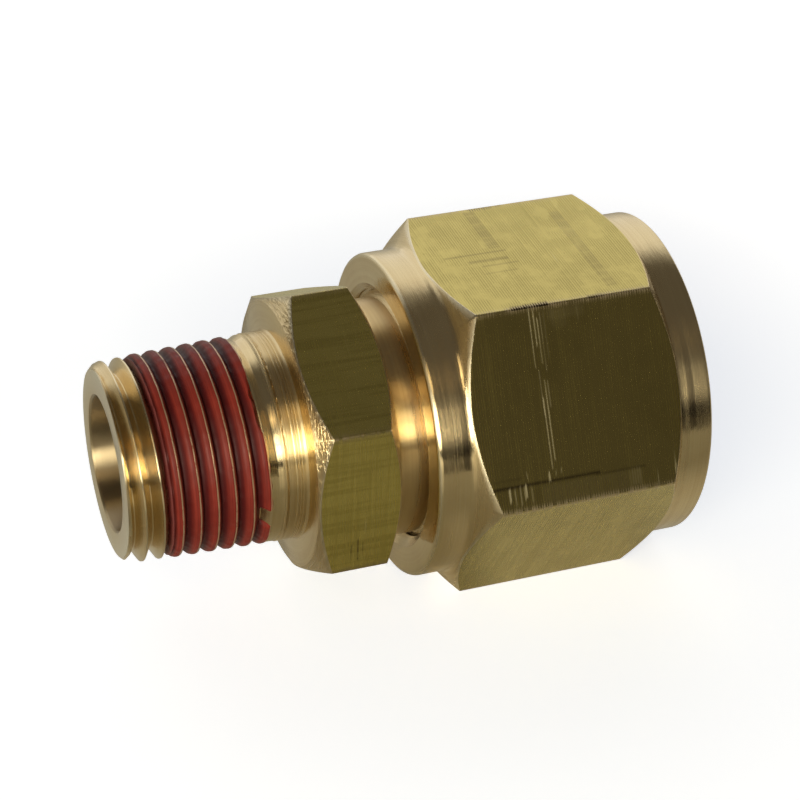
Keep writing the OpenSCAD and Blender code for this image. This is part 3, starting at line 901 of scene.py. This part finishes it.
def bar_brass(name, marks, box, seed, light, dark, reach, bright=(), stains=(), nicks=(), cross=0.0,
              rough=0.26, regular=0.55, worn=WORN):
    """Skin of the drawn hexagon bar: duller, olive brass with lines across, smudges and scratches.

    bright, stains and nicks are tables of scratches, dark marks and dents at known places, cross adds dark
    streaks along the bar, regular is the share of even lines, and worn is the colour of the corners.
    """
    made, t, shader = material(name)
    bar = t.add("ShaderNodeGroup", node_tree=marks)
    bar.inputs["Seed"].default_value = seed
    bar.inputs["Regular"].default_value = regular
    lines = bar.outputs["Lines"]
    streaks = bar.outputs["Streaks"]
    smudges = bar.outputs["Smudges"]

    shade = t.plus(t.range(lines, 0.2, 0.7, 0.0, 0.85), t.range(smudges, 0.42, 0.72, 0.0, 0.3))
    shade = t.times_plus(t.range(streaks, 0.46, 0.62), cross, shade)
    base = t.mix(t.math("MINIMUM", shade, 1.0), light, dark)
    ragged = t.times(t.mark("corner"), t.range(lines, 0.35, 0.6, 0.25, 1.0))
    base = t.mix(ragged, base, worn)

    shine = bar.outputs["Scratches"]
    if bright or nicks:
        ends = t.times_plus(lines, 1.6, -0.8)
    if bright:
        ticks = t.range(t.plus(lines, t.times(smudges, 0.3)), 0.8, 0.55, 0.25, 1.0)
        shine = t.math("MAXIMUM", shine, t.times(ticks, placed_marks(t, box, bright, reach, ends)))
    if nicks:
        base = t.mix(placed_marks(t, box, nicks, reach, ends), base, NICK)
    if stains:
        broken = t.range(streaks, 0.35, 0.55, 0.5, 1.0)
        base = t.mix(t.times(broken, placed_marks(t, box, stains, reach)), base, STAIN)
    t.put(shader.inputs["Base Color"], t.mix(shine, base, SCRATCH))

    gloss = t.range(lines, 0.3, 0.7, rough - 0.04, rough + 0.08)
    gloss = t.plus(gloss, t.times(t.math("MAXIMUM", shine, ragged), 0.25))
    t.put(shader.inputs["Roughness"], gloss)
    height = t.times_plus(bar.outputs["Relief"], 0.8, t.times(streaks, 0.2))
    t.put(shader.inputs["Normal"], t.bump(height, BAR_BUMP))
    shader.inputs["Metallic"].default_value = 1.0
    return made


def red_sealant():
    """Dry sealant: satin brick red with painted shade in the valleys, worn to a line of bare brass at each
    crest.
    """
    made, t, shader = material("dry_red_sealant")
    where = t.coordinate()
    xyz = t.split(where)
    speck = t.noise(where, 900.0, 3.0, 0.6, 2.0)
    patches = t.noise(where, 260.0, 2.0, 0.5, 4.0)
    along = t.vector(t.times(t.mark("offset"), 9.0), t.times(xyz[1], 70), t.times(xyz[2], 70))
    comb = t.noise(along, 1.0, 3.0, 0.65, t.times(xyz[0], 200))
    bead = t.mark("bead")
    worn = t.times(t.range(t.mark("crest"), 0.25, 0.7), t.range(speck, 0.3, 0.46, 0.25, 1.0))

    red = t.mix(t.range(patches, 0.35, 0.65), RED, RED_PATCH)
    red = t.mix(t.range(comb, 0.4, 0.62, 0.0, 0.55), red, COMBED_RED)
    # Painted shade: the valleys darker maroon
    base = t.mix(t.range(t.mark("valley"), 0.35, 0.9), red, VALLEY_SHADE_RED)
    # Painted highlight on the bead, painted shade in the groove behind it
    base = t.mix(t.math("MULTIPLY", bead, 0.6, clamp=True), base, BEAD_HIGHLIGHT_RED)
    base = t.mix(t.math("MULTIPLY", bead, -0.7, clamp=True), base, DITCH_SHADE_RED)
    t.put(shader.inputs["Base Color"], t.mix(worn, base, BARE_CREST))

    t.put(shader.inputs["Metallic"], t.times(worn, 0.8))
    dry = t.range(speck, 0.3, 0.7, 0.4, 0.52)
    t.put(shader.inputs["Roughness"], t.times_plus(worn, -0.16, dry))
    height = t.plus(t.noise(where, 1400.0, 2.0, 0.5, 1.0), t.times(comb, 1.5))
    t.put(shader.inputs["Normal"], t.bump(height, SEALANT_BUMP))
    shader.inputs["IOR"].default_value = 1.42
    shader.inputs["Specular IOR Level"].default_value = 0.28
    return made


# Studio

CAMERA_RIGHT = (0.94174, -0.33472, 0.03302)
CAMERA_UP = (0.16286, 0.53970, 0.82596)
CAMERA_BACK = (-0.29428, -0.77246, 0.56277)
CAMERA_PLACE = (-0.0694617, -0.1873095, 0.1554937)
CAMERA_LENS = 103.5
CAMERA_SENSOR = 36.0
CAMERA_NEAREST = 0.01
FLOOR_HALF = 3.0

# Each lamp has a name, place, width, height, watts and colour. All of them look at one point.
LAMPS_LOOK_AT = (0, 0, 0.017)
LAMPS = [
    ("left_window", (-0.36, -0.45, 0.215), 0.42, 0.29, 2.2, (1.0, 0.95, 0.78)),
    ("upper_left", (-0.30, -0.29, 0.437), 0.3, 0.14, 0.3, (1.0, 0.8, 0.5)),
    ("left_strip", (-0.29, -0.355, 0.14), 0.34, 0.08, 0.55, (1.0, 0.95, 0.76))]


def turned_to(right, up, back, at):
    """The matrix of an object at a point whose own x, y and z run along right, up and back."""
    return Matrix.Translation(at) @ Matrix((right, up, back)).transposed().to_4x4()


def make_camera():
    """The camera that was fitted to the photograph."""
    camera = bpy.data.objects.new("camera", bpy.data.cameras.new("camera"))
    bpy.context.scene.collection.objects.link(camera)
    camera.data.lens = CAMERA_LENS
    camera.data.sensor_width = CAMERA_SENSOR
    camera.data.clip_start = CAMERA_NEAREST
    camera.matrix_world = turned_to(CAMERA_RIGHT, CAMERA_UP, CAMERA_BACK, CAMERA_PLACE)
    bpy.context.scene.camera = camera


def make_world():
    """The room that the brass mirrors: a pale backdrop behind, a dim ceiling and sides, a glow low on the
    left and darkness low in front. The camera itself sees white."""
    world = bpy.data.worlds.new("studio")
    bpy.context.scene.world = world
    world.use_nodes = True
    world.node_tree.nodes.clear()
    t = Tree(world.node_tree)
    side, depth, height = t.split(t.coordinate("Generated"))

    room = t.mix(t.range(height, 0.9, 0.55), CEILING, DIM_ROOM)
    left = t.times(t.range(side, -0.5, -0.9), t.range(height, 0.5, 0.15))
    room = t.mix(left, room, LEFT_GLOW)
    ahead = t.times(t.range(depth, -0.5, -0.75), t.range(height, 0.2, 0.08))
    room = t.mix(ahead, room, DARK_AHEAD)
    behind = t.times(t.range(depth, 0.33, 0.62), t.range(side, -0.8, -0.62))
    room = t.mix(t.times(behind, t.range(height, 0.9, 0.68)), room, BACKDROP)

    seen = t.add("ShaderNodeLightPath").outputs["Is Camera Ray"]
    background = t.add("ShaderNodeBackground", {"Color": t.mix(seen, room, WHITE), "Strength": 1.0})
    out = t.add("ShaderNodeOutputWorld")
    world.node_tree.links.new(background.outputs[0], out.inputs["Surface"])


def make_floor():
    """A pale floor that the camera sees as white, with the object's soft shadow on it. The brass mirrors it
    with painted light behind and to the left, and painted shade in front."""
    corners = [(-FLOOR_HALF, -FLOOR_HALF, 0), (FLOOR_HALF, -FLOOR_HALF, 0),
               (FLOOR_HALF, FLOOR_HALF, 0), (-FLOOR_HALF, FLOOR_HALF, 0)]
    mesh = bpy.data.meshes.new("floor")
    mesh.from_pydata(corners, [], [(0, 1, 2, 3)])
    floor = bpy.data.objects.new("floor", mesh)
    bpy.context.scene.collection.objects.link(floor)
    made = bpy.data.materials.new("pale_floor")
    made.use_nodes = True
    made.node_tree.nodes.clear()
    t = Tree(made.node_tree)
    path = t.add("ShaderNodeLightPath").outputs
    mirrored = t.math("MAXIMUM", path["Is Glossy Ray"], path["Is Transmission Ray"])
    where = t.coordinate()
    side, depth, _ = t.split(where)
    away = t.add("ShaderNodeVectorMath", {0: where}, operation="LENGTH").outputs["Value"]

    # The floor's own light: full for the camera, and some for mirrors
    under = t.times(t.range(depth, -0.04, -0.02), t.range(side, 0.003, 0.012, 0.0, 0.18))
    near = t.math("MAXIMUM", t.range(depth, -0.014, 0.004, 0.0, 0.15), under)
    far = t.range(depth, 0.05, 0.3, 0.0, 0.35)
    glow = t.times_plus(mirrored, t.plus(near, far), path["Is Camera Ray"])
    seen = t.mix(t.range(away, 0.045, 0.12), PAPER_NEAR, PAPER_AWAY)
    tint = t.mix(mirrored, seen, PAPER_GLOW)

    # The colour that lamps and the shadow act on, with painted shade in front and painted light on the left
    # for mirrors
    reflected = t.mix(t.range(depth, -0.112, -0.128), REFLECTED, MIRRORED_SHADE_AHEAD)
    left = t.times(t.range(side, -0.008, -0.03), t.range(depth, -0.04, -0.058))
    reflected = t.mix(left, reflected, MIRRORED_LIGHT_LEFT)
    paper = t.add("ShaderNodeBsdfDiffuse", {"Color": t.mix(mirrored, PAPER, reflected)})
    lit = t.add("ShaderNodeEmission", {"Color": tint, "Strength": glow})
    both = t.add("ShaderNodeAddShader", {0: paper.outputs[0], 1: lit.outputs[0]})
    out = t.add("ShaderNodeOutputMaterial")
    made.node_tree.links.new(both.outputs[0], out.inputs["Surface"])
    mesh.materials.append(made)


def make_lamp(name, at, width, height, watts, colour):
    """A soft area lamp, turned towards the point that all lamps look at."""
    data = bpy.data.lights.new(name, "AREA")
    data.shape = "RECTANGLE"
    data.size = width
    data.size_y = height
    data.energy = watts
    data.color = colour
    lamp = bpy.data.objects.new(name, data)
    bpy.context.scene.collection.objects.link(lamp)
    back = np.array(at) - np.array(LAMPS_LOOK_AT)
    back = back / np.linalg.norm(back)
    side = np.cross((0, 0, 1), back)
    side = side / np.linalg.norm(side)
    lamp.matrix_world = turned_to(side, np.cross(back, side), back, at)


def dress(piece, *skins):
    """Gives a piece its materials, in the order of its slots."""
    for skin in skins:
        piece.data.materials.append(skin)


body = make_body()
nut = make_nut()
sleeve = make_sleeve()
sealant = make_sealant()

lathe_marks = lathe_group()
bar_marks = flats_group()
box = mark_box()
dress(body,
      turned_brass("turned_body_brass", lathe_marks, seed=0.0, rough=0.28, fine_to=PIPE_LENGTH, bore=BORE,
                   brushed=0.4, rough_cones=4.5),
      bar_brass("body_bar_brass", bar_marks, box, 3.0, BODY_OLIVE, DARK_BODY_OLIVE, HEX_AF / 2 - 0.1,
                stains=BODY_STAINS, cross=0.6, regular=0.15, worn=DARK_WORN))
dress(nut,
      turned_brass("turned_nut_brass", lathe_marks, seed=5.0, rough=0.17, brushed=1.5),
      bar_brass("nut_bar_brass", bar_marks, box, 8.0, OLIVE, DARK_OLIVE, NUT_AF / 2 - 0.1,
                NUT_SCRATCHES, NUT_STAINS, NUT_NICKS))
dress(sleeve, turned_brass("turned_sleeve_brass", lathe_marks, seed=9.0))
dress(sealant, red_sealant())

make_camera()
make_world()
make_floor()
for lamp in LAMPS:
    make_lamp(*lamp)

bpy.context.scene.view_settings.view_transform = "Standard"
